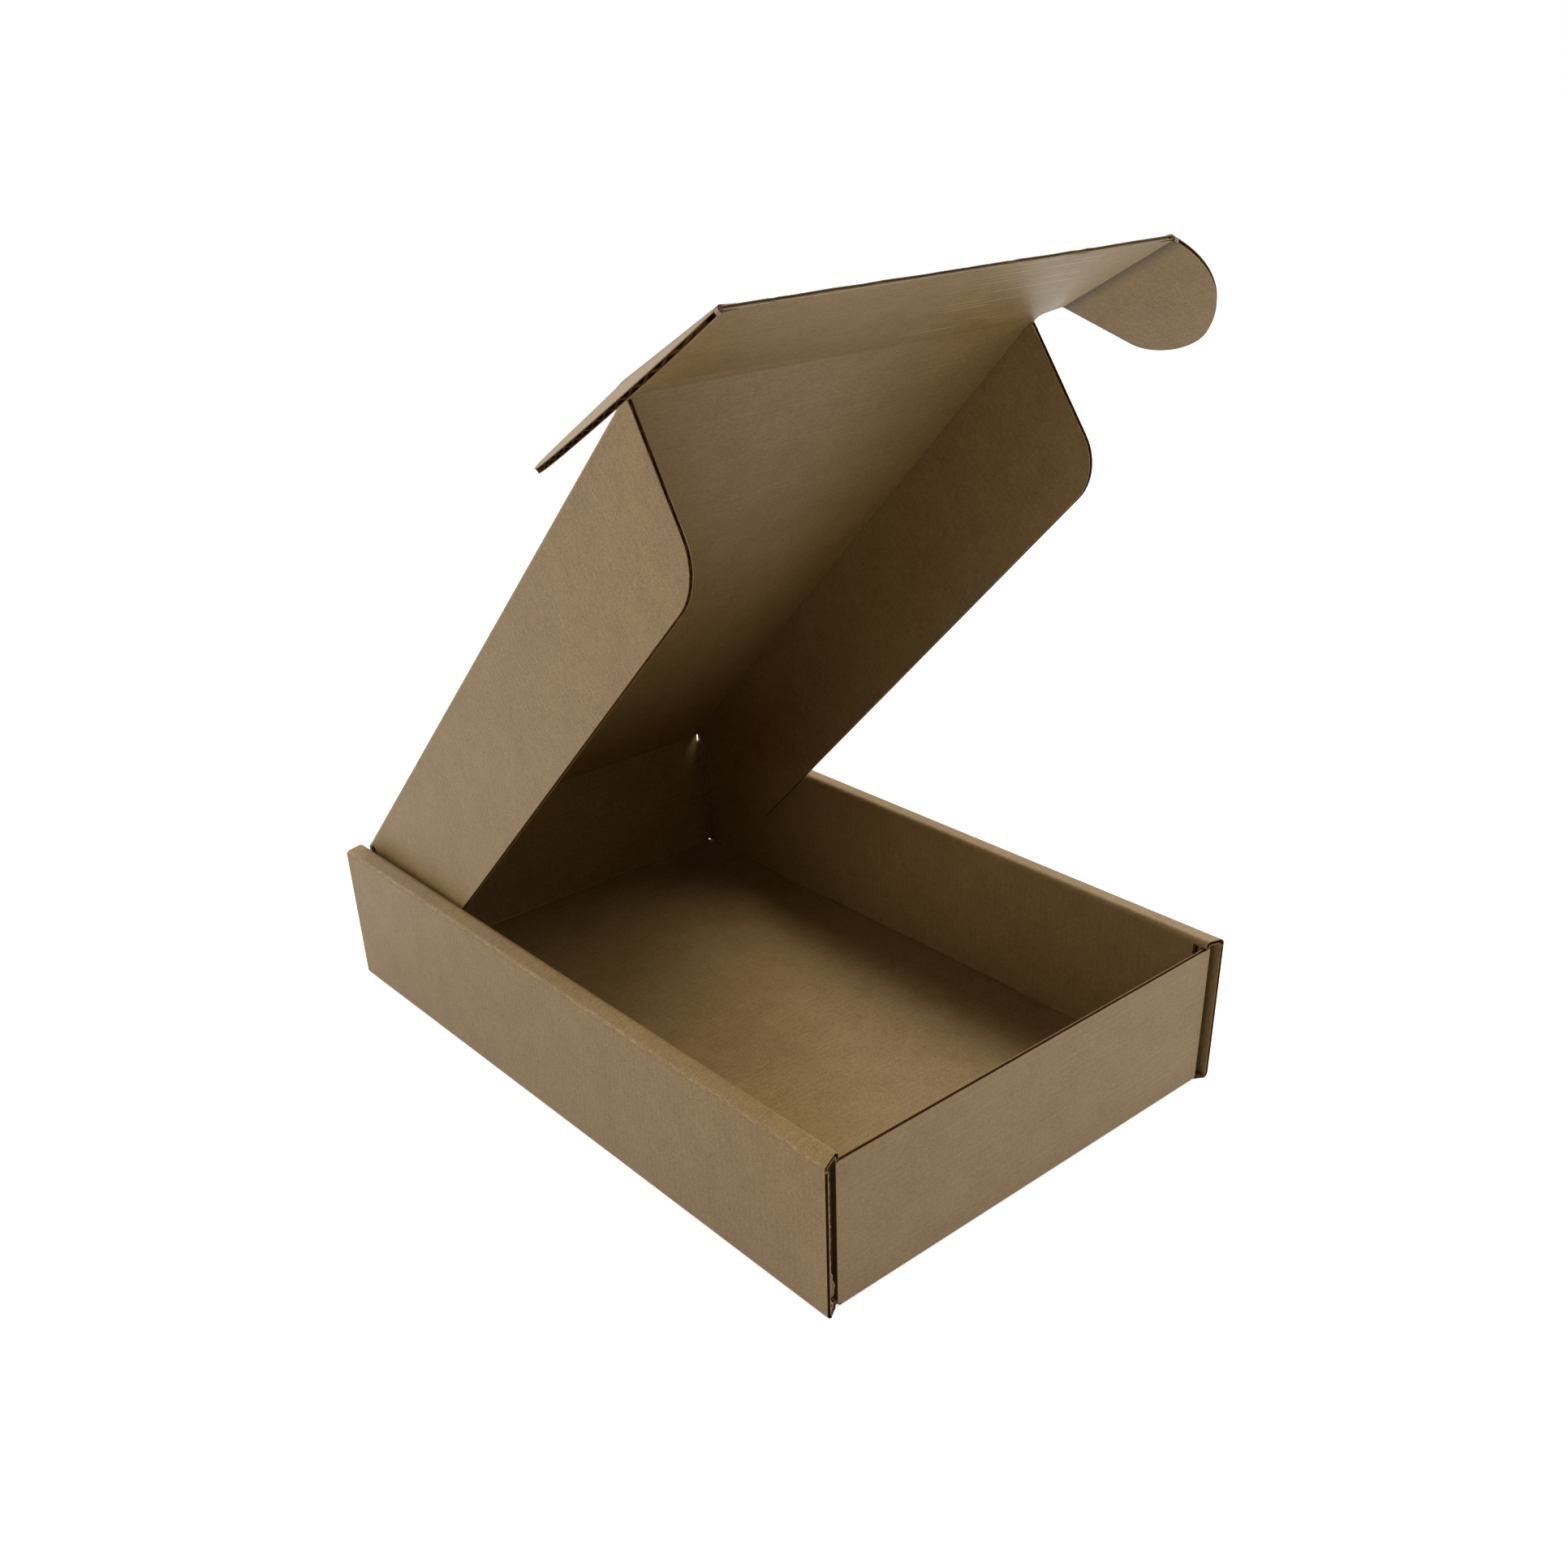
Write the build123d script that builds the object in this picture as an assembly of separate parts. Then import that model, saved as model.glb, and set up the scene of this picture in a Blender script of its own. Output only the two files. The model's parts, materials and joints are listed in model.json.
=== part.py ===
# Corrugated mailer box of the roll-end, tuck-top style, folded from one sheet of E-flute board and
# standing open. The front is -Y, the lid is hinged at the back, +Z is up, and the origin is the
# centre of the underside. Left and right are as seen from the front: left is -X.
#
# The box is laid out closed, where every fold is square, and its flaps are then turned open about
# their own scores into the pose that the parts are written in.

import os
from math import cos, radians, sin

from build123d import *

# Board
board = 2.0  # thickness of the corrugated board
bend = 2.4  # outer radius of a plain fold
score_bead = 1.2  # radius of the rounded score that a flap turns on
score_gap = 0.25  # room between a score and the flap that turns on it
hinge_gap = 0.12  # gap between the underside of the lid and a wing that hangs from it
play = 0.4  # room between panels that slide past each other

# Tray
inside_width = 219.0  # between the two rolled side walls, at the floor
inside_length = 349.0  # between the front and back walls
side_height = 71.2  # outer score along the top of a side wall
front_drop = 2.4  # from there down to the top of the front wall and of the corner flaps
web_rise_left = 2.9  # rise of the left web from its outer to its inner score, over the lid
web_rise_right = 0.3  # the same on the right, where the web lies nearly level
lift_right = 0.8  # how much higher the right wall's outer score is pushed than the left one's
roll_lean = 1.4  # how far the inner ply leans in at its top
roll_room = 4.0  # room between the two plies of a side wall, where the corner flaps lie
flap_play = 0.5  # room between a corner flap and the foot of the inner ply
flap_step = 1.6  # how far inside its place a corner flap is folded from its wall
flap_run = 4.0  # from the wall's outer face to where the flap starts to lean out to its place
flap_slant = 3.0  # length over which it gets there
ply_short = 5.3  # gap between an end of the inner ply and the front or back wall
ply_overhang = 1.8  # how far the side walls stand past the front and back walls
web_taper = 2.2  # how much shorter the web is at its inner score, at each end
tab_length = 50.0  # tab that locks a rolled wall into the floor
tab_pitch = 190.0  # between the two tabs of a wall
tab_recess = 0.4  # how far a tab stays above the underside
slot_play = 0.3  # room round a tab in its slot
corner_length = 62.0  # corner flap, from the wall that it is folded from
corner_taper = 5.0  # how much its two long edges draw in towards its end
corner_lift = 2.6  # lower edge of a corner flap above the underside

# Lid
hinge_drop = 0.2  # from a side wall's outer score down to the middle of the board at the hinge
hinge_relief = 2.6  # depth of the notch beside each end of the lid's score
lid_room = 4.0  # from each end of the hinge to the rolled wall
lid_draw = 5.5  # how much each side of the lid draws in towards the front, to enter the tray
tuck_room = 0.5  # room between the front wall and the tucked flap
edge_round = 1.4  # outer rounding where a wing folds down from the lid
wing_clear = 5.5  # from the free edge of a wing to the underside of the closed box
wing_rear_gap = 4.0  # from the hinge to the start of a wing
wing_front_gap = 2.0  # from the end of a wing to the tuck flap's score
wing_rear_slope = 4.0  # how much the rear edge of a wing draws in over its depth
wing_front_slope = 12.0  # the same for the front edge
wing_rear_round = 12.0
wing_front_round = 20.0

# Tuck flap and its ears
flap_clear = 6.0  # from the free edge of the tucked flap to the underside
flap_shoulder = 3.5  # depth at which the flap starts to widen beyond the lid
ear_start = 8.4  # from the flap's score to the ear's score
ear_step = 6.5  # from the lid's edge out to the start of the ear's score
flap_draw = 1.0  # how much each side of the flap draws in from there to its free edge
ear_reach = 55.5
ear_toe = 17.6  # radius of the ear's lower corner
ear_toe_end = 28.0  # degrees past level where that corner runs into the long upper curve

# Pose of the open box, in degrees
lid_open = 45.0  # above the closed lid
flap_fold = 17.2  # of the tuck flap, from flat
ear_fold_left = 25.5  # of an ear, from flat
ear_fold_right = 31.0
wing_lean = 2.5  # of a wing, outwards from square
square = 90.0

# Sizes and places that several panels share
front_height = side_height - front_drop
hinge_height = side_height - hinge_drop
hinge_half = inside_width / 2 - lid_room
front_half = hinge_half - lid_draw
ear_half = front_half + ear_step
flap_half = ear_half - flap_draw
flap_height = hinge_height - flap_clear
wall_y = inside_length / 2 + board
ply_y = wall_y + ply_overhang
side_x = inside_width / 2 + board + roll_room + board
corner_x = inside_width / 2 + board + flap_play + board
fold_x = corner_x - flap_step
inner_ply_y = inside_length / 2 - ply_short
hinge_y = inside_length / 2 + board / 2
crease_y = -(inside_length / 2 - tuck_room - board / 2)
lid_under = hinge_height - board / 2
wing_depth = lid_under - wing_clear
clear_radius = score_bead + score_gap

left_right = Plane.YZ
front_back = Plane.XZ


def folded_board(*points):
    """Section of the board along a folded path. The board lies on the left of the path."""
    path = Wire(FilletPolyline(*points, radius=bend).edges())
    return Face(path.offset_2d(board, side=Side.LEFT, closed=True))


def rod(start, end, radius):
    """Round rod between two points."""
    start, end = Vector(start), Vector(end)
    return extrude(Plane(origin=start, z_dir=end - start) * Circle(radius), (end - start).length)


def block(low, high):
    """Block between its lowest and its highest corner."""
    size = [b - a for a, b in zip(low, high)]
    return Pos(*low) * Box(*size, align=(Align.MIN, Align.MIN, Align.MIN))


def trough():
    """Front wall, floor and back wall, folded up from one strip, with the lid's score on top."""
    strip = folded_board(
        (-wall_y, front_height), (-wall_y, 0), (wall_y, 0), (wall_y, hinge_height)
    )
    half = fold_x - bend
    solid = extrude(Plane.YZ * strip, half, both=True)
    notch = block((hinge_half, 0, front_height - hinge_relief), (side_x, ply_y, side_height))
    solid -= notch
    solid -= mirror(notch, left_right)
    score_end = hinge_half - score_bead / 2
    solid += rod((-score_end, hinge_y, hinge_height), (score_end, hinge_y, hinge_height), score_bead)
    floor = block((bend - side_x, bend - wall_y, 0), (side_x - bend, wall_y - bend, board))
    return solid + floor


def rolled_wall(height, rise):
    """Right side wall: outer ply, web and inner ply, rolled over and locked by two tabs."""
    web_top = height + rise
    section = folded_board(
        (side_x - bend - play, 0),
        (side_x, 0),
        (side_x, height),
        (inside_width / 2 - roll_lean, web_top),
        (inside_width / 2, tab_recess),
    )
    solid = extrude(Plane.XZ * section, ply_y, both=True)
    low_x, high_x = inside_width / 2 - board, inside_width / 2 + 2 * board
    ply_foot = board + play
    tab_ends = [tab_pitch / 2 - tab_length / 2, tab_pitch / 2 + tab_length / 2]
    solid -= block((low_x, -tab_ends[0], 0), (high_x, tab_ends[0], ply_foot))
    web_end = Polyline(
        (side_x, ply_y),
        (low_x, ply_y - web_taper * (side_x - low_x) / (side_x - inside_width / 2)),
        (low_x, ply_y + board),
        (side_x, ply_y + board),
        close=True,
    )
    end_cuts = [
        block((low_x, tab_ends[1], 0), (high_x, ply_y, ply_foot)),
        block((low_x, inner_ply_y, 0), (high_x, ply_y, front_height + play)),
        block((side_x - 2 * bend, wall_y - bend, 0), (side_x - bend, ply_y, board)),
        Pos(0, 0, front_height) * extrude(make_face(web_end), web_top),
    ]
    for cut in end_cuts:
        solid -= cut
        solid -= mirror(cut, front_back)
    return solid


def tab_slots():
    """Slots in the floor for the tabs of the right wall."""
    low_x = inside_width / 2 - slot_play
    high_x = inside_width / 2 + board + slot_play
    reach = tab_length / 2 + slot_play
    return [
        block((low_x, middle - reach, -1), (high_x, middle + reach, board + 1))
        for middle in (-tab_pitch / 2, tab_pitch / 2)
    ]


def corner_flap():
    """Flap folded back from the right end of the front wall, into the rolled wall."""
    turn = folded_board(
        (fold_x - 2 * bend, -wall_y),
        (fold_x, -wall_y),
        (fold_x, flap_run - wall_y),
        (corner_x, flap_run + flap_slant - wall_y),
        (corner_x, corner_length - wall_y),
    )
    outline = Polyline(
        (-wall_y, corner_lift),
        (-wall_y, front_height),
        (flap_run + flap_slant - wall_y, front_height),
        (corner_length - wall_y, front_height - corner_taper),
        (corner_length - wall_y, corner_lift + corner_taper),
        (flap_run + flap_slant - wall_y, corner_lift),
        close=True,
    )
    return extrude(turn, side_height) & extrude(Plane.YZ * make_face(outline), side_x)


def make_tray():
    """The folded and locked sheet, apart from the lid."""
    solid = trough()
    for slot in tab_slots():
        solid -= slot
        solid -= mirror(slot, left_right)
    solid += rolled_wall(side_height + lift_right, web_rise_right)
    solid += mirror(rolled_wall(side_height, web_rise_left), left_right)
    front_flap = corner_flap()
    for flap in (front_flap, mirror(front_flap, front_back)):
        solid += flap
        solid += mirror(flap, left_right)
    return solid


def make_lid():
    """Lid panel, closed, with the tuck flap's score along its front."""
    corners = [
        (-hinge_half, hinge_y),
        (hinge_half, hinge_y),
        (front_half, crease_y),
        (-front_half, crease_y),
    ]
    solid = extrude(Pos(0, 0, lid_under) * make_face(Polyline(*corners, close=True)), board)
    top = solid.faces().sort_by(Axis.Z)[-1]
    side_edges = top.edges().filter_by(lambda edge: abs(edge.center().X) > front_half / 2)
    solid = fillet(side_edges, edge_round)
    solid -= rod((-side_x, hinge_y, hinge_height), (side_x, hinge_y, hinge_height), clear_radius)
    score_end = front_half - score_bead / 2
    return solid + rod(
        (-score_end, crease_y, hinge_height), (score_end, crease_y, hinge_height), score_bead
    )


def wing_plane():
    """Plane of the right wing's outer face: x runs forward along the lid's edge, y runs down."""
    rear = Vector(hinge_half, hinge_y, lid_under - hinge_gap)
    front = Vector(front_half, crease_y, lid_under - hinge_gap)
    along = (front - rear).normalized()
    return Plane(origin=rear, x_dir=along, z_dir=Vector(-along.Y, along.X, 0))


def make_wing():
    """Right wing, folded square under the lid's edge."""
    lid_edge = Vector(hinge_half - front_half, hinge_y - crease_y).length
    front = lid_edge - wing_front_gap
    outline = Polyline(
        (wing_rear_gap, 0),
        (front, 0),
        (front - wing_front_slope, wing_depth),
        (wing_rear_gap + wing_rear_slope, wing_depth),
        close=True,
    )
    panel = make_face(outline)
    deep = panel.vertices().sort_by(Axis.Y)[-2:].sort_by(Axis.X)
    panel = fillet(deep[0], wing_rear_round)
    deep = panel.vertices().sort_by(lambda v: (v.Y > wing_depth / 2) * v.X)[-1:]
    panel = fillet(deep, wing_front_round)
    return extrude(wing_plane() * panel, -board)


def make_flap():
    """Tuck flap, hanging square from the lid's front, with the two ears' scores on its ends."""
    edge = front_half - score_bead / 2
    right_side = [
        (edge, 0),
        (edge, flap_shoulder),
        (ear_half, ear_start),
        (flap_half, flap_height),
    ]
    left_side = [(-x, y) for x, y in reversed(right_side)]
    outline = make_face(Polyline(*right_side, *left_side, close=True))
    plane = Plane(origin=(0, crease_y, hinge_height), x_dir=(1, 0, 0), z_dir=(0, 1, 0))
    solid = extrude(plane * outline, board / 2, both=True)
    solid -= rod((-side_x, crease_y, hinge_height), (side_x, crease_y, hinge_height), clear_radius)
    score = rod(*ear_score(), score_bead)
    return solid + score + mirror(score, left_right)


def ear_score():
    """Upper and lower end of the right ear's score, on the closed box."""
    upper = Vector(ear_half, crease_y, hinge_height - ear_start)
    lower = Vector(flap_half, crease_y, hinge_height - flap_height)
    return upper, lower


def make_ear():
    """Right ear, folded square to the back, with its long upper curve and its round toe."""
    upper, lower = ear_score()
    down = (lower - upper).normalized()
    length = (lower - upper).length
    toe_x = ear_reach - ear_toe
    lower_edge = Line((0, 0), (toe_x, 0))
    toe = CenterArc((toe_x, ear_toe), ear_toe, -square, square + ear_toe_end)
    heading = (-sin(radians(ear_toe_end)), cos(radians(ear_toe_end)))
    curve = TangentArc(toe @ 1, (0, length), tangent=heading)
    outline = make_face([lower_edge, toe, curve, Line((0, length), (0, 0))])
    plane = Plane(origin=upper, x_dir=(0, 1, 0), z_dir=Vector(down.Z, 0, -down.X))
    solid = extrude(plane * outline, board / 2, both=True)
    return solid - rod(upper - down * bend, lower + down * bend, clear_radius)


# Scores that the flaps turn on, each with the way that folds its flap shut
lid_score = Axis((0, hinge_y, hinge_height), (1, 0, 0))
flap_score = Axis((0, crease_y, hinge_height), (1, 0, 0))
ear_right_score = Axis(ear_score()[1], ear_score()[0] - ear_score()[1])
wing_right_score = Axis(
    wing_plane().origin - wing_plane().z_dir * board, wing_plane().x_dir * -1
)


def with_lid(shape):
    """A piece of the closed lid, turned up with it."""
    return shape.rotate(lid_score, -lid_open)


def with_flap(shape):
    """A piece of the closed tuck flap, turned open with it and with the lid."""
    return with_lid(shape.rotate(flap_score, flap_fold - square))


wing = make_wing().rotate(wing_right_score, -wing_lean)
ear = make_ear()
ear_left = mirror(ear.rotate(ear_right_score, ear_fold_left - square), left_right)
parts = {
    "tray": make_tray(),
    "lid_panel": with_lid(make_lid()),
    "lid_wing_left": with_lid(mirror(wing, left_right)),
    "lid_wing_right": with_lid(wing),
    "tuck_flap": with_flap(make_flap()),
    "lock_ear_left": with_flap(ear_left),
    "lock_ear_right": with_flap(ear.rotate(ear_right_score, ear_fold_right - square)),
}

os.makedirs("parts", exist_ok=True)
for name, shape in parts.items():
    export_step(shape, f"parts/{name}.step")
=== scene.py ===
# %% [markdown]
# # A corrugated mailer box
#
# The real box is one sheet of brown E-flute board, cut by a steel rule die, scored where it folds,
# and locked together without glue. The CAD model gives its panels as plain solids. In this lesson
# the same box gets what makes it look like board: two paper liners with a wavy paper between them,
# which shows wherever the sheet was cut, kraft paper on every face, and soft scores at the folds.
#
# The first cell loads the CAD model as the frame that everything else is fitted to. Lengths are
# metres here, so a helper turns millimetres into metres.

# %% Load the frame
import json
from math import cos, pi, radians, sin

import bmesh
import bpy
from mathutils import Matrix, Vector

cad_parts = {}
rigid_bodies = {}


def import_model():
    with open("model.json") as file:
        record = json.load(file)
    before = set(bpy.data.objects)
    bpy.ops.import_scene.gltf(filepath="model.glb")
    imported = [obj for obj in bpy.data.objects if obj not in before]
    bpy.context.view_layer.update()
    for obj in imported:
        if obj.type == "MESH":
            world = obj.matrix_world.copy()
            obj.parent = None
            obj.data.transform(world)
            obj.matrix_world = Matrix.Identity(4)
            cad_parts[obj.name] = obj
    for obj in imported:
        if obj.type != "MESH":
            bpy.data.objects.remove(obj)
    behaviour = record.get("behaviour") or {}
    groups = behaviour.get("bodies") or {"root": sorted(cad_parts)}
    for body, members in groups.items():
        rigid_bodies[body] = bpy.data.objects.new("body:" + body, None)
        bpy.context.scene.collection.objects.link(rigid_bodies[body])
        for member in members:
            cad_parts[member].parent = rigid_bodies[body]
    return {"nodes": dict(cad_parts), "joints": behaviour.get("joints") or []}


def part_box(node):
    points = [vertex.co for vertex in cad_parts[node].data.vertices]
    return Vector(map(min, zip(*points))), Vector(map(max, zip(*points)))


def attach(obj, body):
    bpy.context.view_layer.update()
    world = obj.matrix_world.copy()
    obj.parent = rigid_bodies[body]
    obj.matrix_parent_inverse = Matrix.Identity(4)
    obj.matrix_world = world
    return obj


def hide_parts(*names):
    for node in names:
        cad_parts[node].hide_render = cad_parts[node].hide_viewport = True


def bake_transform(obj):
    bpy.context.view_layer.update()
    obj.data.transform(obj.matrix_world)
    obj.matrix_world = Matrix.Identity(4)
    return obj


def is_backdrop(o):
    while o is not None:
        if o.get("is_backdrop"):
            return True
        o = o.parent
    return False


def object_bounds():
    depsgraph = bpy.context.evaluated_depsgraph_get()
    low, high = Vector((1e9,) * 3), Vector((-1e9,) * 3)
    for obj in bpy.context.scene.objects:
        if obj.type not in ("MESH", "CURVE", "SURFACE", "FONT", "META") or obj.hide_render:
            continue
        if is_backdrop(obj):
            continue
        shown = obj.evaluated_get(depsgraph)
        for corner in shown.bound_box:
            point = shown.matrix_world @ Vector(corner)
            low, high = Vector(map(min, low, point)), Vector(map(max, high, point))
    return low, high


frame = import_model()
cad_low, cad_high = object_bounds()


def mm(*lengths):
    """Millimetres to metres: one length, or a point."""
    metres = [length / 1000 for length in lengths]
    return metres[0] if len(metres) == 1 else Vector(metres)


size_mm = [round((high - low) * 1000, 1) for low, high in zip(cad_low, cad_high)]
print("nodes:", sorted(frame["nodes"]))
print("size of the open box in mm:", size_mm)

# %% [markdown]
# ## Camera
#
# A photograph of a box gives its own camera away, because the box's corners are known in
# millimetres. The camera below comes from matching those corners to their pixels: it stands
# 0.75 m away to the front left, 30 degrees up, and is tilted a little. Guessing by eye would also
# do, but then every edge would be a few pixels off, and small errors in shape would be hidden.
# The photo was cropped off centre, so the lens gets a small shift instead of a turn.

# %% Camera
azimuth, elevation, roll = radians(-39.02), radians(29.93), radians(-2.59)
distance, focal_px = mm(751.14), 1926.14
centre_px = (930.08, 1181.66)
photo_px = 1932
sensor_mm = 36
aim = mm(0, 0, 35)  # half way up the tray

back = Vector(
    (sin(azimuth) * cos(elevation), -cos(azimuth) * cos(elevation), sin(elevation))
)
level = Vector((cos(azimuth), sin(azimuth), 0))
upright = back.cross(level)
right = cos(roll) * level + sin(roll) * upright
up = -sin(roll) * level + cos(roll) * upright

lens = bpy.data.cameras.new("camera")
lens.sensor_width = sensor_mm
lens.lens = sensor_mm * focal_px / photo_px
lens.shift_x = 0.5 - centre_px[0] / photo_px
lens.shift_y = centre_px[1] / photo_px - 0.5
lens.clip_start, lens.clip_end = 0.02, 20
camera = bpy.data.objects.new("camera", lens)
turn = Matrix((right, up, back)).transposed().to_4x4()
camera.matrix_world = Matrix.Translation(aim + back * distance) @ turn
bpy.context.scene.collection.objects.link(camera)
bpy.context.scene.camera = camera
print("lens", round(lens.lens, 2), "mm, shift", round(lens.shift_x, 4), round(lens.shift_y, 4))

# %% [markdown]
# ## Where the panels are
#
# The lid stands open by 45 degrees, the tuck flap is bent by 17 degrees, and each ear by its own
# angle. The record's joints say where every score lies, so the directions on each panel are worked
# out from them and stay right if the CAD model changes. Three directions describe a panel: over
# its flutes, along them, and out of its outer side.

# %% Directions on the panels
joints = {joint["name"]: joint for joint in frame["joints"]}
WINGS = {"lid_wing_left": "wing_fold_left", "lid_wing_right": "wing_fold_right"}
EARS = {"lock_ear_left": "ear_fold_left", "lock_ear_right": "ear_fold_right"}
SCORES = {"lid_panel": "lid_hinge", "tuck_flap": "tuck_flap_fold", **WINGS, **EARS}
across_box = Vector((1, 0, 0))


def score_of(node):
    """A point on the score that a panel turns about."""
    return Vector(joints[SCORES[node]]["pos_m"])


def face_out(node):
    """The largest face of a node that looks up or outwards: its normal."""
    mesh = frame["nodes"][node].data
    sums = {}
    for triangle in mesh.polygons:
        key = tuple(round(c, 2) for c in triangle.normal)
        sums[key] = sums.get(key, 0) + triangle.area
    best = sorted(sums, key=sums.get)[-2:]
    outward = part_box(node)[0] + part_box(node)[1]
    side = Vector((outward.x, 0, 0)) if node in WINGS else Vector((0, 0, 1))
    chosen = max(best, key=lambda n: Vector(n).dot(side))
    normals = [t.normal for t in mesh.polygons if (t.normal - Vector(chosen)).length < 0.02]
    return sum(normals, Vector()).normalized()


panels = {}
for node in SCORES:
    out = face_out(node)
    if node in ("lid_panel", "tuck_flap"):
        along, over = across_box, out.cross(across_box).normalized()
    else:
        over = Vector(joints[SCORES[node]]["axis"]).normalized()
        along = out.cross(over).normalized()
        middle = sum(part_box(node), Vector()) / 2
        if along.dot(middle - score_of(node)) < 0:
            along.negate()
    panels[node] = {"out": out, "over": over, "along": along}
    print(node, {name: [round(c, 3) for c in way] for name, way in panels[node].items()})

# %% [markdown]
# ## Nodes and colours
#
# A material is a small graph of nodes. Adding each node by hand in a window is pleasant once and
# tiring the tenth time, so one short function adds a node, sets it and links its inputs. Colours
# are read off as sRGB hex values and turned to the linear values that light is computed with.

# %% Helpers for materials


def linear(hex_colour):
    """An sRGB colour such as "C8A070" as linear RGBA."""
    parts = [int(hex_colour[i : i + 2], 16) / 255 for i in (0, 2, 4)]
    turned = [c / 12.92 if c <= 0.04045 else ((c + 0.055) / 1.055) ** 2.4 for c in parts]
    return (*turned, 1.0)


def add_node(tree, kind, settings, *values, **inputs):
    """Adds a node. values fill its inputs in their order. inputs fill them by name, with _ for a
    space, or by place, as i6. Each is a value, a socket, or a node, meaning its first output."""
    node = tree.nodes.new("ShaderNode" + kind)
    for name, value in settings.items():
        setattr(node, name, value)
    for name, value in (*enumerate(values), *inputs.items()):
        if name in inputs:
            name = int(name[1:]) if name[1:].isdigit() else name.replace("_", " ")
        if isinstance(value, bpy.types.Node):
            value = value.outputs[0]
        if isinstance(value, bpy.types.NodeSocket):
            tree.links.new(value, node.inputs[name])
        else:
            node.inputs[name].default_value = value
    return node


def new_material(name):
    """An empty material, and its node tree."""
    material = bpy.data.materials.new(name)
    material.use_nodes = True
    material.node_tree.nodes.clear()
    return material, material.node_tree


print("a kraft brown in linear light:", [round(c, 3) for c in linear("B08D62")])

# %% [markdown]
# ## Painted highlights and wear on the kraft
#
# The faces of the board are kraft linerboard: unbleached paper of long brown fibres, pressed but
# not coated. The glue lines of the wavy paper show through it as a faint washboard, one ridge each
# 3.2 mm. Glancing light catches its crests in long broken streaks, most of all on the inner face of
# the tuck flap, right of the middle; here those streaks are a painted highlight in the colour. The
# sharp folds along the top of the tray are drawn pale too, partly wear and partly painted
# highlight.
# A plain noise would light the paper in spots, so the streaks are the crests themselves, shown only
# where a noise that is drawn out along the flutes is high.

# %% Painted highlights and wear on the kraft
FLUTE_PITCH = 3.2  # mm from one ridge of E-flute to the next
CREST_SHARPNESS = 6.0
STREAKS_PER_MM, STREAK_STRETCH = 0.9, (0.03, 0.4, 0.4)
LEAST_CREST_HIGHLIGHT, FLAP_CREST_HIGHLIGHT = 0.12, 0.95
HIGHLIGHT_X, HIGHLIGHT_CORE, HIGHLIGHT_REACH = 50.0, 14.0, 52.0  # mm: its middle, the reach of the full painted highlight, and where it has faded
FOLD_X, FOLD_Z, FOLD_LINE_WIDTH = 116.8, 70.9, 1.0  # mm, the tray's upper fold and the width of its pale line
SOFTLY = {"interpolation_type": "SMOOTHSTEP"}


def beyond(tree, place, point, direction):
    """How far a place lies beyond a point in a direction, in mm."""
    offset = add_node(tree, "VectorMath", {"operation": "SUBTRACT"}, place, point)
    dot = add_node(tree, "VectorMath", {"operation": "DOT_PRODUCT"}, offset, direction)
    return dot.outputs["Value"]


def on_inner_face(tree, place, node):
    """1 on the inner face of a panel, 0 on its outer one. Its score lies between the two."""
    height = beyond(tree, place, score_of(node) * 1000, panels[node]["out"])
    return add_node(tree, "Math", {"operation": "LESS_THAN"}, height, 0.0)


def crest_highlight(tree, place, ridge, share):
    """How far the crests of the washboard are lit pale: a painted highlight, in broken streaks."""
    crest = add_node(tree, "Math", {"operation": "MAXIMUM"}, ridge, 0.0)
    crest = add_node(tree, "Math", {"operation": "POWER"}, crest, CREST_SHARPNESS)
    drawn = add_node(tree, "Mapping", {}, Vector=place, Scale=STREAK_STRETCH)
    drawn = add_node(tree, "TexNoise", {}, Vector=drawn, Scale=STREAKS_PER_MM, Detail=2.0)
    patches = add_node(tree, "MapRange", SOFTLY, drawn, 0.46, 0.62, 0.0, 1.0)
    lit_streaks = add_node(tree, "Math", {"operation": "MULTIPLY"}, crest, patches)
    return add_node(tree, "Math", {"operation": "MULTIPLY"}, lit_streaks, share)


def flap_highlight_share(tree, place):
    """How strong the painted highlight on the crests of the tuck flap is, from place to place."""
    across = add_node(tree, "SeparateXYZ", {}, place).outputs["X"]
    away = add_node(tree, "Math", {"operation": "SUBTRACT"}, across, HIGHLIGHT_X)
    away = add_node(tree, "Math", {"operation": "ABSOLUTE"}, away)
    patch = add_node(tree, "MapRange", SOFTLY, away, HIGHLIGHT_REACH, HIGHLIGHT_CORE, 0.2, FLAP_CREST_HIGHLIGHT)
    inner = on_inner_face(tree, place, "tuck_flap")
    patch = add_node(tree, "Math", {"operation": "MULTIPLY"}, patch, inner)
    return add_node(tree, "Math", {"operation": "MAXIMUM"}, patch, LEAST_CREST_HIGHLIGHT)


def fold_wear_and_highlight(tree, place):
    """How far the tray's upper outer folds are drawn pale, in a broken line: partly wear, partly a
    painted highlight.
    """
    axes = add_node(tree, "SeparateXYZ", {}, place).outputs
    aside = add_node(tree, "Math", {"operation": "ABSOLUTE"}, axes["X"])
    aside = add_node(tree, "Math", {"operation": "SUBTRACT"}, aside, FOLD_X)
    above = add_node(tree, "Math", {"operation": "SUBTRACT"}, axes["Z"], FOLD_Z)
    away = add_node(tree, "Math", {"operation": "POWER"}, aside, 2.0)
    away = add_node(tree, "Math", {"operation": "MULTIPLY_ADD"}, above, above, away)
    away = add_node(tree, "Math", {"operation": "SQRT"}, away)
    line = add_node(tree, "MapRange", SOFTLY, away, FOLD_LINE_WIDTH, 0.4 * FOLD_LINE_WIDTH, 0.0, 1.0)
    drawn = add_node(tree, "Mapping", {}, Vector=place, Scale=(1, 0.3, 1))
    drawn = add_node(tree, "TexNoise", {}, Vector=drawn, Scale=1.2, Detail=3.0)
    broken = add_node(tree, "MapRange", SOFTLY, drawn, 0.4, 0.7, 0.0, 0.5)
    return add_node(tree, "Math", {"operation": "MULTIPLY"}, line, broken)


print("washboard ridges on the lid:", round(348.5 / FLUTE_PITCH))
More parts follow.
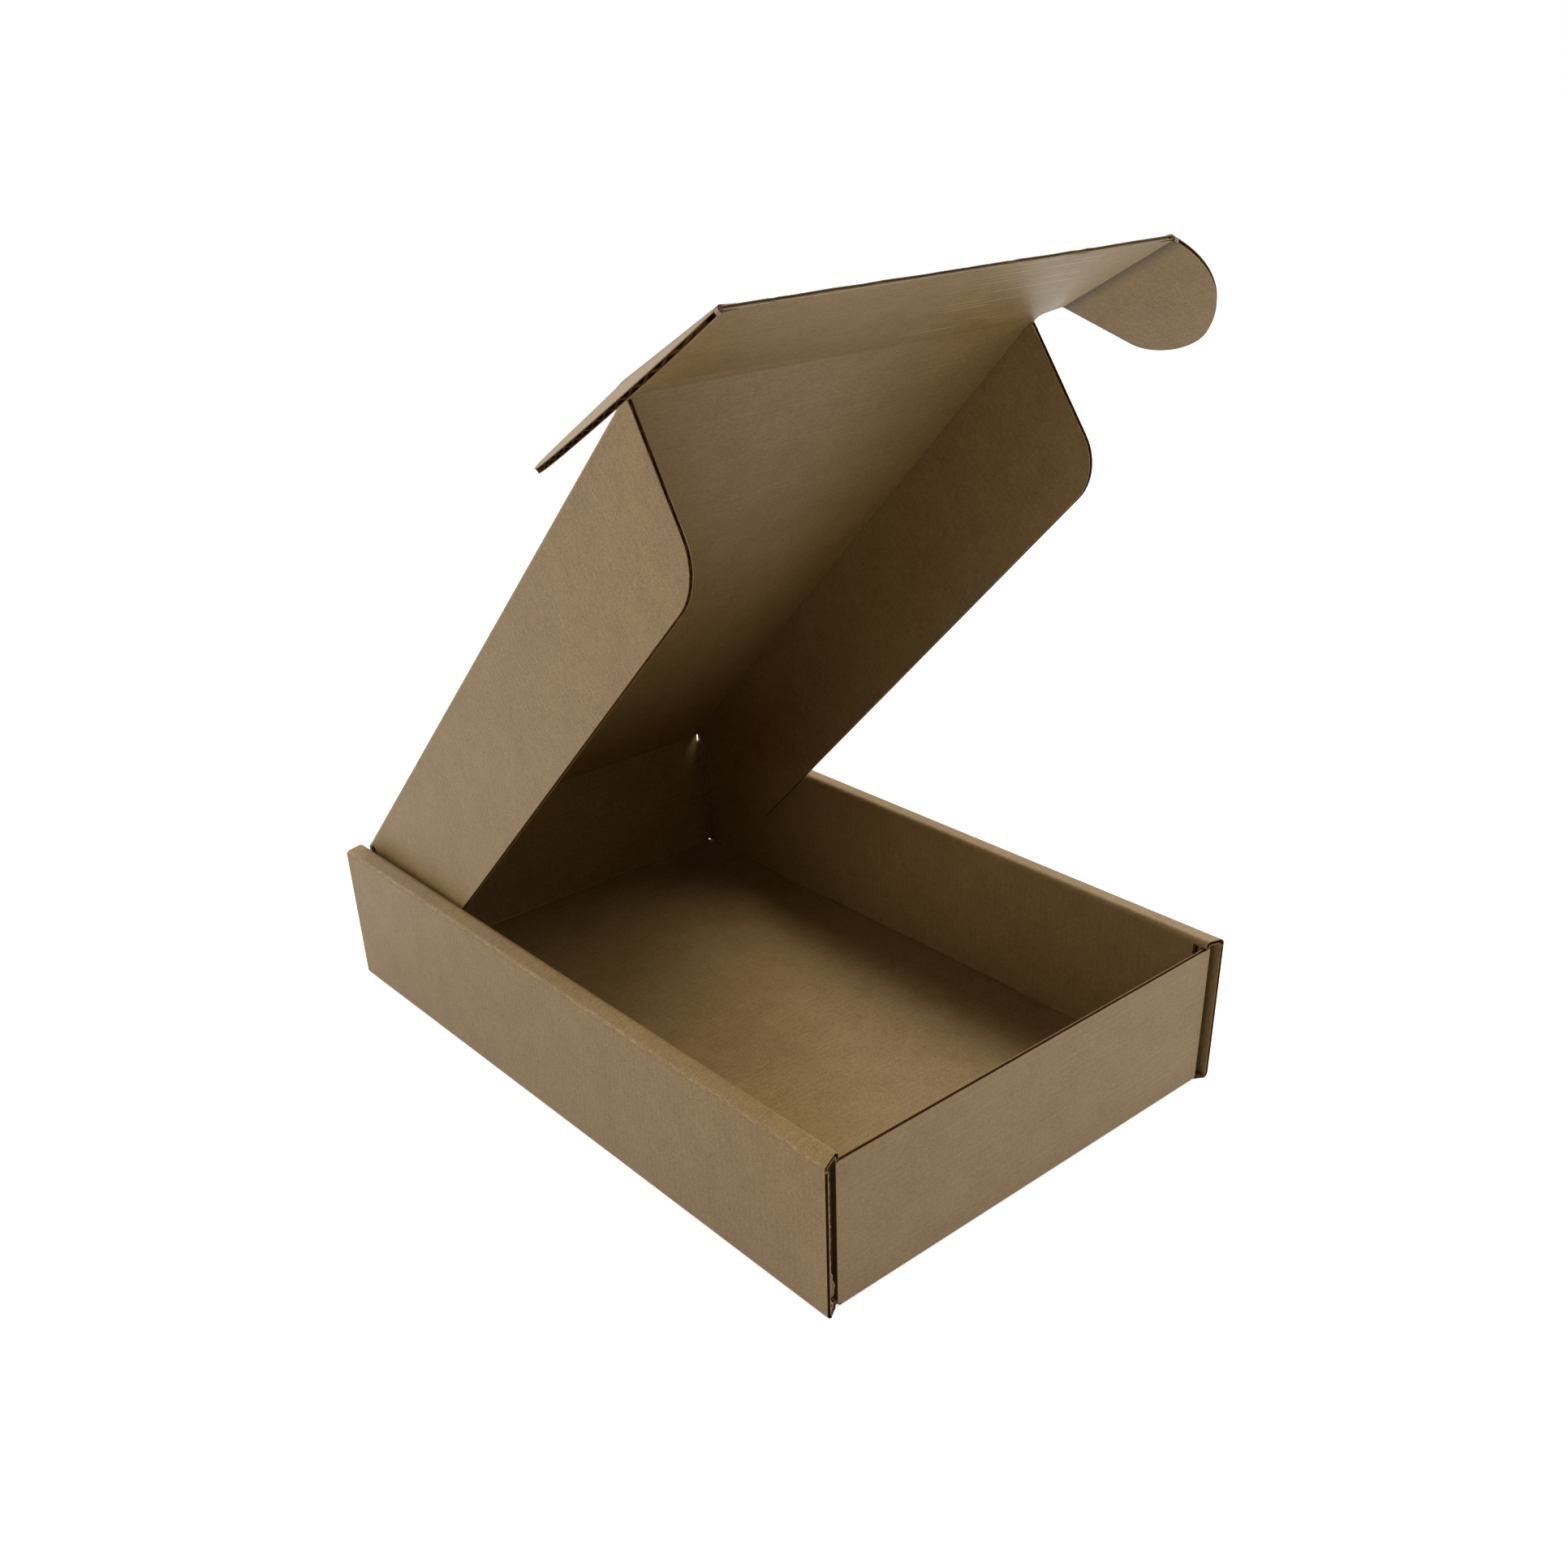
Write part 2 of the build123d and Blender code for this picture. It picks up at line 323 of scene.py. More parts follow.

# %% [markdown]
# ## Kraft liner
#
# Close up the liner is mottled, with pale and dark fibres about half a millimetre wide, and it
# hardly shines: paper has an IOR near 1.4, and pressing leaves it half rough. A picture of paper
# would repeat, so noise is added up instead: wide clouds, mottles, specks and drawn out fibres,
# which are coarser than real ones, because those are too thin to show. The washboard needs to know
# which way the flutes lie. The tray's lie along X everywhere, so it counts up the front and back
# walls, and to the front everywhere else. Beside its score the inner face of an ear gets painted
# shade, dark at the score and fading away from it. Other pieces say by an attribute where shade is
# painted on them, because an attribute stays on the paper when a fold bends.

# %% Kraft liner
KRAFT_DARK, KRAFT_PALE = "7D6239", "A18556"
# The first colour below is a painted highlight on the crests, and on the tray's folds partly wear.
# The second is painted shade.
KRAFT_HIGHLIGHT_AND_WEAR, KRAFT_PAINTED_SHADE = "C4AA80", "583E14"
TONE_DARK, TONE_PALE, RIDGE_TONE = 0.39, 0.63, 0.004
GRAIN = {  # spots per mm, detail, stretch, share of the tone, share of the relief
    "clouds": (0.06, 3.0, (1, 1, 1), 0.14, 0.0),  # 17 mm wide
    "mottles": (0.35, 4.0, (1, 1, 1), 0.16, 0.15),  # 3 mm wide
    "specks": (1.7, 3.0, (1, 1, 1), 0.50, 0.0),  # 0.6 mm wide
    "fibres": (1.5, 2.0, (0.4, 1.3, 1.3), 0.20, 0.5),  # 0.5 mm wide, 1.7 mm long
}
RIDGE_RELIEF, RELIEF_MM = 0.5, 0.02
EAR_SHADE_MM, EAR_SHADE_SHARE = 7.5, 0.95  # how far painted shade reaches from an ear's score, and how dark it is


def run_over_flutes(tree, place, node):
    """Millimetres over the flutes of a node."""
    if node in panels:
        return beyond(tree, place, Vector(), panels[node]["over"])
    axes = add_node(tree, "SeparateXYZ", {}, place).outputs
    facing = add_node(tree, "NewGeometry", {}).outputs["Normal"]
    facing_y = add_node(tree, "SeparateXYZ", {}, facing).outputs["Y"]
    facing_y = add_node(tree, "Math", {"operation": "ABSOLUTE"}, facing_y)
    is_end_wall = add_node(tree, "Math", {"operation": "GREATER_THAN"}, facing_y, 0.5)
    return add_node(tree, "Mix", {}, is_end_wall, i2=axes["Y"], i3=axes["Z"])


def shade_beside_score(tree, place, node):
    """How dark the painted shade on the inner face of a panel is beside its score."""
    far = beyond(tree, place, score_of(node) * 1000, panels[node]["along"])
    dark = add_node(tree, "MapRange", SOFTLY, far, 0.0, EAR_SHADE_MM, EAR_SHADE_SHARE, 0.0)
    inner = on_inner_face(tree, place, node)
    return add_node(tree, "Math", {"operation": "MULTIPLY"}, dark, inner)


def liner_material(name, node, has_painted_shade=False):
    """Kraft linerboard, with the flutes as on that node. The third argument says whether the piece
    carries an attribute for painted shade, which darkens the paper where it is set."""
    material, tree = new_material("kraft_liner_" + name)
    metres = add_node(tree, "TexCoord", {}).outputs["Object"]
    place = add_node(tree, "VectorMath", {"operation": "SCALE"}, metres, Scale=1000.0)
    run = run_over_flutes(tree, place, node)
    phase = add_node(tree, "Math", {"operation": "MULTIPLY"}, run, 2 * pi / FLUTE_PITCH)
    ridge = add_node(tree, "Math", {"operation": "SINE"}, phase)
    tone = add_node(tree, "Math", {"operation": "MULTIPLY"}, ridge, RIDGE_TONE)
    relief = add_node(tree, "Math", {"operation": "MULTIPLY"}, ridge, RIDGE_RELIEF)
    for per_mm, detail, stretch, tone_share, relief_share in GRAIN.values():
        spots = add_node(tree, "Mapping", {}, Vector=place, Scale=stretch)
        spots = add_node(tree, "TexNoise", {}, Vector=spots, Scale=per_mm, Detail=detail)
        tone = add_node(tree, "Math", {"operation": "MULTIPLY_ADD"}, spots, tone_share, tone)
        relief = add_node(tree, "Math", {"operation": "MULTIPLY_ADD"}, spots, relief_share, relief)
    ramp = add_node(tree, "ValToRGB", {}, tone)
    stops = ramp.color_ramp.elements
    stops[0].position, stops[0].color = TONE_DARK, linear(KRAFT_DARK)
    stops[1].position, stops[1].color = TONE_PALE, linear(KRAFT_PALE)
    share = flap_highlight_share(tree, place) if name == "tuck_flap" else LEAST_CREST_HIGHLIGHT
    # Painted highlight: crests are drawn pale where glancing light would catch them. On the tray
    # the upper folds are drawn pale too, partly wear and partly highlight.
    highlight_and_wear = crest_highlight(tree, place, ridge, share)
    if node == "tray":
        fold = fold_wear_and_highlight(tree, place)
        highlight_and_wear = add_node(tree, "Math", {"operation": "MAXIMUM"}, highlight_and_wear, fold)
    colour = ramp.outputs["Color"]
    layers = [(highlight_and_wear, KRAFT_HIGHLIGHT_AND_WEAR)]
    # Painted shade: an attribute, or on an ear the distance from its score, darkens the colour.
    if has_painted_shade:
        attribute = add_node(tree, "Attribute", {"attribute_name": "painted_shade"})
        layers.append((attribute.outputs["Fac"], KRAFT_PAINTED_SHADE))
    elif name in EARS:
        layers.append((shade_beside_score(tree, place, name), KRAFT_PAINTED_SHADE))
    for amount, tint in layers:
        mix = add_node(tree, "Mix", {"data_type": "RGBA"}, amount, i6=colour, i7=linear(tint))
        colour = mix.outputs[2]
    bump = add_node(tree, "Bump", {}, Height=relief, Strength=1.0, Distance=mm(RELIEF_MM))
    surface = {"Base_Color": colour, "Roughness": 0.5, "IOR": 1.42, "Normal": bump}
    shader = add_node(tree, "BsdfPrincipled", {}, **surface)
    add_node(tree, "OutputMaterial", {}, Surface=shader)
    return material


print("layers of grain:", ", ".join(GRAIN))

# %% [markdown]
# ## Raw paper
#
# The wavy middle is a cheaper recycled paper, browner and duller than the liners. It is only seen
# in the cut edges, in the dark of the channels, where it reads as a dark line with light dots, so
# it is fully rough with a low IOR. Its colour is drawn darker than the paper itself, as painted
# shade of those deep channels. Where the liner is torn, its fibres stand up pale, and what lies
# bare behind them is dark. All are raw papers with flecks, so one function makes them.

# %% Raw paper


def raw_paper(name, dark, pale, flecks_per_mm, **surface):
    """Uncoated paper with flecks of two tones."""
    material, tree = new_material(name)
    metres = add_node(tree, "TexCoord", {}).outputs["Object"]
    flecks = add_node(tree, "TexNoise", {}, Vector=metres, Scale=flecks_per_mm * 1000, Detail=3.0)
    ramp = add_node(tree, "ValToRGB", {}, flecks)
    ramp.color_ramp.elements[0].color = linear(dark)
    ramp.color_ramp.elements[1].color = linear(pale)
    shader = add_node(tree, "BsdfPrincipled", {}, Base_Color=ramp, **surface)
    add_node(tree, "OutputMaterial", {}, Surface=shader)
    print("paper:", name)
    return material


# The first colours here are darker than the paper is, as painted shade of the deep channels.
fluting_and_shade = raw_paper("fluting_paper_with_painted_shade", "4C2E18", "7A5230", 0.9, Roughness=1.0, IOR=1.2)
torn_edge = raw_paper("torn_kraft_fibres", "A58660", "D2B88F", 1.5, Roughness=0.85)
torn_face = raw_paper("torn_kraft_face", "5E452C", "86683F", 1.5, Roughness=0.85)

# %% [markdown]
# ## Boards with open edges
#
# A cut edge of board shows the two liners as thin light lines with a dark hollow between them.
# Painting those lines on a solid would be quick, but the hollow has to catch shadow and be open to
# the side. So each panel starts as a copy of its CAD node, which keeps its exact outline. Its
# triangles are merged back into whole faces, its cut faces are inset by the thickness of a liner,
# and what is left between the liners is pushed inwards. Folded edges are left closed.

# %% Board helpers
LINER_MM = 0.3
GROOVE_MM = 2.4
LINER_SLOT, FLUTING_SLOT = 0, 1


def take(piece):
    """Selects that piece alone."""
    bpy.ops.object.select_all(action="DESELECT")
    bpy.context.view_layer.objects.active = piece
    piece.select_set(True)


def edit(piece):
    """Goes into edit mode on that piece alone, with nothing selected."""
    take(piece)
    bpy.ops.object.mode_set(mode="EDIT")
    bpy.ops.mesh.select_mode(type="FACE")
    bpy.ops.mesh.select_all(action="DESELECT")


def leave_edit():
    """Goes back to object mode, which stores the edits."""
    bpy.ops.object.mode_set(mode="OBJECT")


def board_from(node):
    """A new piece with the shape of a CAD node, its triangles merged into whole faces."""
    mesh = frame["nodes"][node].data.copy()
    mesh.name = node + "_board"
    piece = bpy.data.objects.new(node + "_board", mesh)
    bpy.context.scene.collection.objects.link(piece)
    mesh.materials.clear()
    mesh.materials.append(liner_material(node, node, has_painted_shade=node == "tray"))
    mesh.materials.append(fluting_and_shade)
    edit(piece)
    bpy.ops.mesh.select_all(action="SELECT")
    bpy.ops.mesh.customdata_custom_splitnormals_clear()
    bpy.ops.mesh.remove_doubles(threshold=mm(0.002))
    bpy.ops.mesh.dissolve_limited(angle_limit=radians(0.6))
    bpy.ops.mesh.select_all(action="DESELECT")
    leave_edit()
    return piece


def select_faces(piece, is_wanted):
    """Selects the faces whose middle in mm and normal pass a test. Says how many there are."""
    edit(piece)
    shape = bmesh.from_edit_mesh(piece.data)
    wanted = [f for f in shape.faces if is_wanted(f.calc_center_median() * 1000, f.normal)]
    for face in wanted:
        face.select_set(True)
    bmesh.update_edit_mesh(piece.data)
    return len(wanted)


def assign(piece, slot):
    """Gives the selected faces the material in a slot."""
    piece.active_material_index = slot
    bpy.ops.object.material_slot_assign()


def open_cut_edges(piece, is_cut, inward=None, deep=GROOVE_MM, slot=FLUTING_SLOT):
    """Hollows the cut faces out between the two liners, straight in or by a given vector. slot is
    the material that shows in the hollow."""
    count = select_faces(piece, is_cut)
    bpy.ops.mesh.inset(thickness=mm(LINER_MM), use_even_offset=True)
    if inward is None:
        bpy.ops.mesh.extrude_region_shrink_fatten(
            TRANSFORM_OT_shrink_fatten={"value": -mm(deep)}
        )
    else:
        bpy.ops.mesh.extrude_region_move(TRANSFORM_OT_translate={"value": mm(*inward)})
    bpy.ops.mesh.select_more()
    assign(piece, slot)
    leave_edit()
    return count


def finish_board(piece, node):
    """Smooths the rounded folds, and lets the piece stand for its node."""
    take(piece)
    bpy.ops.object.shade_smooth_by_angle(angle=radians(28))
    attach(piece, node)
    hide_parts(node)
    print(piece.name, len(piece.data.polygons), "faces")


# %% [markdown]
# ## Flute ends
#
# Where the cut crosses the flutes, the wavy paper shows as a row of small arches. Modelling all of
# it inside the board would hide nearly every face. A strip a few millimetres deep along the cut is
# enough. It starts as a flat grid, its rows are laid on a sine wave of the real pitch, and its
# outer end follows the outline of the panel. A Solidify modifier gives the paper its thickness.
# Other scraps of paper start as the same flat grid, so it has a function of its own.

# %% Flute end helper
FLUTE_HEIGHT = 0.56  # mm, half the room between the liners less half the paper
FLUTING_MM = 0.17
HALF_BOARD = 1.0  # mm
ROW_ROOM, CUT_ROOM, DEEP_ROOM = 0.5, 0.25, 0.3  # mm free at a row's ends, in front and behind
STEPS_PER_FLUTE = 8


def flat_strip(name, cells):
    """A flat row of cells that runs from -1 to 1 along X and along Y."""
    bpy.ops.object.select_all(action="DESELECT")
    bpy.ops.mesh.primitive_grid_add(x_subdivisions=cells, y_subdivisions=1, size=2)
    strip = bpy.context.object
    strip.name = strip.data.name = name
    return strip


def thicken(paper, thickness, offset=0, smooth=50):
    """Gives the active piece of paper its thickness, and smooths its bends up to an angle."""
    bpy.ops.object.modifier_add(type="SOLIDIFY")
    solidify = paper.modifiers[-1]
    solidify.thickness, solidify.offset = mm(thickness), offset
    bpy.ops.object.modifier_apply(modifier=solidify.name)
    bpy.ops.object.shade_smooth_by_angle(angle=radians(smooth))


def outline_of(piece, out):
    """The corners of the piece's largest face that looks along out, in order."""
    faces = [p for p in piece.data.polygons if p.normal.dot(out) > 0.999]
    largest = max(faces, key=lambda p: p.area)
    return [piece.data.vertices[i].co.copy() for i in largest.vertices]


def crossings(corners, a):
    """Where the line at a crosses the outline with corners (a, b): the values of b."""
    return [
        b0 + (b1 - b0) * (a - a0) / (a1 - a0)
        for (a0, b0), (a1, b1) in zip(corners, corners[1:] + corners[:1])
        if (a0 - a) * (a1 - a) < 0
    ]


def flute_ends(node, outline):
    """The row of arches along the far end of a panel's flutes."""
    out, over, along = (panels[node][key] for key in ("out", "over", "along"))
    corners = [(c.dot(over) * 1000, c.dot(along) * 1000) for c in outline]
    centre = outline[0].dot(out) * 1000 - HALF_BOARD
    low = min(run for run, reach in corners) + ROW_ROOM
    length = max(run for run, reach in corners) - ROW_ROOM - low
    rows = int(length / (FLUTE_PITCH / STEPS_PER_FLUTE))
    strip = flat_strip(node + "_fluting", rows)
    for vertex in strip.data.vertices:
        run = low + (vertex.co.x + 1) / 2 * length
        reaches = crossings(corners, run)
        far, near = max(reaches) - CUT_ROOM, min(reaches)
        deep = max(far - GROOVE_MM + DEEP_ROOM, (far + near) / 2)
        reach = far if vertex.co.y > 0 else deep
        lift = centre + FLUTE_HEIGHT * sin(2 * pi * run / FLUTE_PITCH)
        vertex.co = mm(1) * (over * run + along * reach + out * lift)
    thicken(strip, FLUTING_MM)
    strip.data.materials.append(fluting_and_shade)
    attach(strip, node)
    print(strip.name, rows, "rows,", len(strip.data.polygons), "faces")


print("one flute is drawn with", STEPS_PER_FLUTE, "rows")

# %% [markdown]
# ## Wings and ears
#
# The wings of the lid and the ears of the tuck flap are flat panels that were cut all round except
# at their score. Their cut faces are the ones that look neither outwards nor inwards, and not
# back at the score.

# %% Wings and ears
NEAR_SCORE = 2.0  # mm from a score, within which nothing was cut
outlines = {}
for node in (*WINGS, *EARS):
    panel = panels[node]
    score = score_of(node) * 1000
    board = board_from(node)
    outlines[node] = outline_of(board, panel["out"])

    def is_cut(middle, normal, panel=panel, score=score):
        """Whether a face of this panel was cut."""
        reach = (middle - score).dot(panel["along"])
        return abs(normal.dot(panel["out"])) < 0.3 and reach > NEAR_SCORE

    count = open_cut_edges(board, is_cut)
    finish_board(board, node)
    flute_ends(node, outlines[node])
    print(node, "cut faces:", count)

# %% [markdown]
# ## Tuck flap
#
# The free edge of the tuck flap was cut along the flutes, and the knife pressed the liners nearly
# together there, so its channel is shallow and shows kraft paper, not the dark of the flutes. Only
# beyond the ears' scores, at the tips of the flap, does the dark paper show.

# %% Tuck flap
RIM_START = 60.0  # mm from the flap's score, beyond which only its free edge lies
STRAIGHT_X, TIP_X = 50.0, 105.0  # mm from the middle: within the straight edge, and in the tips
PRESSED_GROOVE = 0.9  # mm
flap = board_from("tuck_flap")
flap_out = panels["tuck_flap"]["out"]
flap_score = score_of("tuck_flap")
down_flap = panels["tuck_flap"]["over"].copy()
if down_flap.y > 0:
    down_flap.negate()


def reach_of(point):
    """How far a point in mm lies down the flap from its score."""
    return (point - flap_score * 1000).dot(down_flap)


def is_on_rim(middle, normal):
    """Whether a face looks out of the flap's free edge."""
    return normal.dot(down_flap) > 0.9 and reach_of(middle) > RIM_START


def is_flap_cut(middle, normal):
    """Whether a face is the long cut edge of the flap."""
    return is_on_rim(middle, normal) and abs(middle.x) < STRAIGHT_X


def is_bead_end(middle, normal):
    """Whether a face is the end of an ear's score."""
    return is_on_rim(middle, normal) and abs(middle.x) > TIP_X


count = open_cut_edges(flap, is_flap_cut, deep=PRESSED_GROOVE, slot=LINER_SLOT)
print("flap cut faces:", count)
print("ends of the ears' scores:", select_faces(flap, is_bead_end))
assign(flap, FLUTING_SLOT)
leave_edit()

# %% [markdown]
# ## Crushed edge
#
# The die pinches the board a little where it cuts, and the long free edge of the flap takes the
# knocks. Painting nicks would leave the edge straight, so the flap is cut across near its edge,
# and the rim is drawn together and pushed back at the nicks.

# %% Crushed edge
EDGE_REACH = 65.0  # mm from the flap's score to its free edge
FACE_START = 20.0  # mm from the flap's score, beyond which its faces are flat
EDGE_END = 104.5  # mm from the middle to the end of the free edge
CRUSH_DEPTH, PINCH = 3.0, 0.72  # mm from the edge, and what is left of the thickness at the edge
PINCH_WAVE, WAVES_PER_MM = 0.12, 0.9
NICKS = (  # x, width and depth in mm
    (-85.5, 2.0, 0.5), (-1.7, 1.5, 0.45), (19.4, 2.2, 0.6), (54.0, 4.5, 1.3),
)


def cut_across(piece, is_wanted, point, normal):
    """Cuts the chosen faces of a piece along a plane."""
    select_faces(piece, is_wanted)
    bpy.ops.mesh.bisect(plane_co=point, plane_no=normal)
    leave_edit()


def is_flap_face(middle, normal):
    """Whether a face is one of the two large ones of the flap."""
    return abs(normal.dot(flap_out)) > 0.99 and reach_of(middle) > FACE_START


def is_near_edge(middle, normal):
    """Whether a face lies in the crushed rim."""
    return reach_of(middle) > EDGE_REACH - CRUSH_DEPTH and abs(middle.x) < EDGE_END


rim_line = flap_score + down_flap * mm(EDGE_REACH - CRUSH_DEPTH)
cut_across(flap, is_flap_face, rim_line, down_flap)
places = {x + side * width for x, width, depth in NICKS for side in (-1, 0, 1)}
places |= {turn * 12.5 + 2.5 * sin(turn * 2.4) for turn in range(-7, 8)} | {-101.0, 101.0}
for x in sorted(places):
    cut_across(flap, is_near_edge, mm(x, 0, 0), across_box)
for vertex in flap.data.vertices:
    point = vertex.co * 1000
    if reach_of(point) < EDGE_REACH - 0.3:
        continue
    height = (point - flap_score * 1000).dot(flap_out)
    squeezed = PINCH + PINCH_WAVE * sin(point.x * WAVES_PER_MM) - 1
    point += flap_out * height * squeezed
    for x, width, depth in NICKS:
        if abs(point.x - x) < 0.1 and height < 0:
            point -= down_flap * depth
    vertex.co = mm(1) * point
finish_board(flap, "tuck_flap")

# %% [markdown]
# ## Tray
#
# The tray shows its cut edges at the ends of the rolled walls, where a strip of board makes an arch
# over the trapped flap, and along the top of the front wall and of the corner flaps. All of these
# were cut along the flutes, so they are open channels with no arches in them.

# %% Tray
WALL_TOP, WALL_OUT = 68.8, 176.5  # mm, the front wall's upper edge and its outer face
ROLL_START = 106.0  # mm from the middle, inside of which no roll's end lies
TOP_LOW, FLAPS_BACK = 60.0, -110.0  # mm: below the upper edges, and behind the front corner flaps
CHANNEL = 3.0  # mm, the depth of the open channels
tray = board_from("tray")


def is_roll_end(middle, normal, end):
    """Whether a face is cut across a roll. Its tapered web ends further in than the wall."""
    nearest = WALL_OUT + 0.5 if middle.z < WALL_TOP + 1 else WALL_OUT - 2
    is_far = middle.y * end > nearest and abs(middle.x) > ROLL_START
    return is_far and normal.y * end > 0.9


def is_wall_top(middle, normal):
    """Whether a face is the upper edge of the front wall or of its corner flaps."""
    is_high = TOP_LOW < middle.z < WALL_TOP + 0.2
    return normal.z > 0.9 and is_high and middle.y < FLAPS_BACK


cuts = {
    "front ends": (lambda middle, normal: is_roll_end(middle, normal, -1), (0, CHANNEL, 0)),
    "back ends": (lambda middle, normal: is_roll_end(middle, normal, 1), (0, -CHANNEL, 0)),
    "wall top": (is_wall_top, (0, 0, -CHANNEL)),
}
for cut, (is_cut, inward) in cuts.items():
    print("tray", cut, open_cut_edges(tray, is_cut, inward), "faces")

# %% [markdown]
# ## Slots at the corners
#
# At each corner a corner flap turns from the front or back wall into the rolled wall, and leaves a
# slot beside the outer ply. The CAD model folds it over a round tool. Real board creases sharper
# where its flutes run out, so the slot is wider at its mouth and looks dark, most of all at the
# front left, where the flap stands off. The outer face of the fold is drawn in towards the end of
# the wall. Past the crease the paper is crushed and never sees the light, so it is marked dark.

# %% Slots at the corners
FLAT_END, FLAP_SIDE = 110.0, 114.1  # mm from the middle to where the fold starts, and past the flap
FLAP_LENGTH, FLOOR_TOP = 60.0, 2.5  # mm
SLOT_DEPTH, MOUTH_DEPTH = 7.0, 3.0  # mm of the flap that move, and that move all the way
CREASE_SHARPNESS, ROUNDING = 0.4, 2.5  # what is left of the rounding, and its depth in mm
DARK_DEPTH = 1.2  # mm past the wall's face, where the painted shade is full
WIDE_SLOT = 1.5  # mm by which the front left slot is wider than the others
SLACK = 0.05
# Painted shade in the corner slots is carried by this point attribute.
painted_shade_values = tray.data.attributes.new("painted_shade", "FLOAT", "POINT")
moved = 0
for vertex in tray.data.vertices:
    x, y, z = vertex.co * 1000
    side, end = (1 if x > 0 else -1), (1 if y > 0 else -1)
    depth = WALL_OUT - abs(y)
    wider = WIDE_SLOT if side < 0 and end < 0 else 0
    stay = min(1, max(0, (depth - MOUTH_DEPTH) / (SLOT_DEPTH - MOUTH_DEPTH)))
    is_beside = FLAT_END - SLACK < abs(x) < FLAP_SIDE
    is_flap = is_beside and z < WALL_TOP + 2 * SLACK and depth < FLAP_LENGTH
    is_past_fold = abs(x) > FLAT_END + SLACK
    if not is_flap or (is_past_fold and (z < FLOOR_TOP or depth < SLACK)):
        continue
    if vertex.normal.x * side > 0.15 and is_past_fold:
        squeeze = CREASE_SHARPNESS + (1 - CREASE_SHARPNESS) * stay
        x = side * (FLAT_END + (abs(x) - FLAT_END) * squeeze)
        y = end * (WALL_OUT - depth * (squeeze if depth < ROUNDING else 1))
        painted_shade_values.data[vertex.index].value = min(1, depth / DARK_DEPTH)
    vertex.co = mm(x - side * wider * (1 - stay), y, z)
    moved += 1
print("points of the corner flaps moved or marked:", moved)
finish_board(tray, "tray")

# %% [markdown]
# ## Torn corner
#
# At the front left corner the knife left the inner liner of the outer ply ragged. Its edge wanders
# as a thin light line, and near the floor a flake of it is torn off and hangs into the gap. The
# line is a narrow strip with its cells moved aside by a few waves. The flake is a disc whose rim
# is drawn to the outline of the tear and which is curled by its depth.

# %% Torn corner
INNER_X, FRONT_Y = -115.5, -178.2  # mm, inner face of the left outer ply, and its front end
EDGE_LOW, EDGE_LENGTH, EDGE_WIDTH = 3.0, 64.5, 0.6  # mm, the ragged line
NICK_Z, NICK_SIZE = 43.5, 0.7  # mm
CURL = 0.6 / 2.4  # how far the flake bends back for each mm of its width
TEAR = (  # x and z in mm of the flake's outline
    (-115.5, 21.8), (-114.9, 21.7), (-114.4, 20.4), (-113.4, 19.1), (-113.5, 16.8),
    (-113.0, 15.3), (-112.5, 13.4), (-112.8, 11.6), (-112.5, 9.9), (-113.0, 9.0),
    (-114.0, 8.9), (-114.9, 8.0), (-114.2, 6.7), (-113.5, 5.3), (-113.8, 3.8),
    (-114.6, 2.2), (-115.2, 1.3), (-115.0, 2.5), (-114.3, 3.9), (-114.0, 5.2),
    (-114.7, 6.4), (-115.3, 7.7), (-115.3, 9.4), (-115.5, 12.0),
)


def flat_disc(name, corners):
    """A flat face with that many corners."""
    bpy.ops.object.select_all(action="DESELECT")
    bpy.ops.mesh.primitive_circle_add(vertices=corners, radius=1, fill_type="NGON")
    disc = bpy.context.object
    disc.name = disc.data.name = name
    return disc


def finish_scrap(scrap, *papers):
    """Puts papers on a scrap of the tray, and lets it ride along."""
    for paper in papers:
        scrap.data.materials.append(paper)
    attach(scrap, "tray")
    print(scrap.name, len(scrap.data.polygons), "faces")


ragged = flat_strip("ragged_liner_edge", 110)
for vertex in ragged.data.vertices:
    height = EDGE_LOW + (vertex.co.x + 1) / 2 * EDGE_LENGTH
    wander = 0.12 * sin(height * 0.55) + 0.1 * sin(height * 1.7 + 1) + 0.06 * sin(height * 4.1)
    nick = 0.8 * max(0, 1 - abs(height - NICK_Z) / NICK_SIZE)
    deep = 0 if vertex.co.y > 0 else EDGE_WIDTH
    vertex.co = mm(INNER_X + 0.2 + wander + nick, FRONT_Y + deep, height)
thicken(ragged, 0.18)
finish_scrap(ragged, torn_edge)

flake = flat_disc("torn_liner_flake", len(TEAR))
for paper in (torn_edge, torn_face):
    flake.data.materials.append(paper)
for vertex, (x, z) in zip(flake.data.vertices, TEAR):
    vertex.co = mm(x, FRONT_Y + 0.5, z)
edit(flake)
bpy.ops.mesh.select_all(action="SELECT")
bpy.ops.mesh.inset(thickness=mm(0.22), use_even_offset=False)
assign(flake, 1)
leave_edit()
for vertex in flake.data.vertices:
    x, z = vertex.co.x * 1000, vertex.co.z * 1000
    vertex.co.y += mm(CURL * (x - INNER_X) + 0.3 * sin(z * 0.8))
thicken(flake, 0.16)
finish_scrap(flake)

# %% [markdown]
# ## Foot of the corner
#
# The cut that frees the side wall from the front wall runs slantwise, so a small point of the
# floor stays between them and closes the slot from below. It is a triangle of board with its tip
# cut off, pushed up to its thickness.

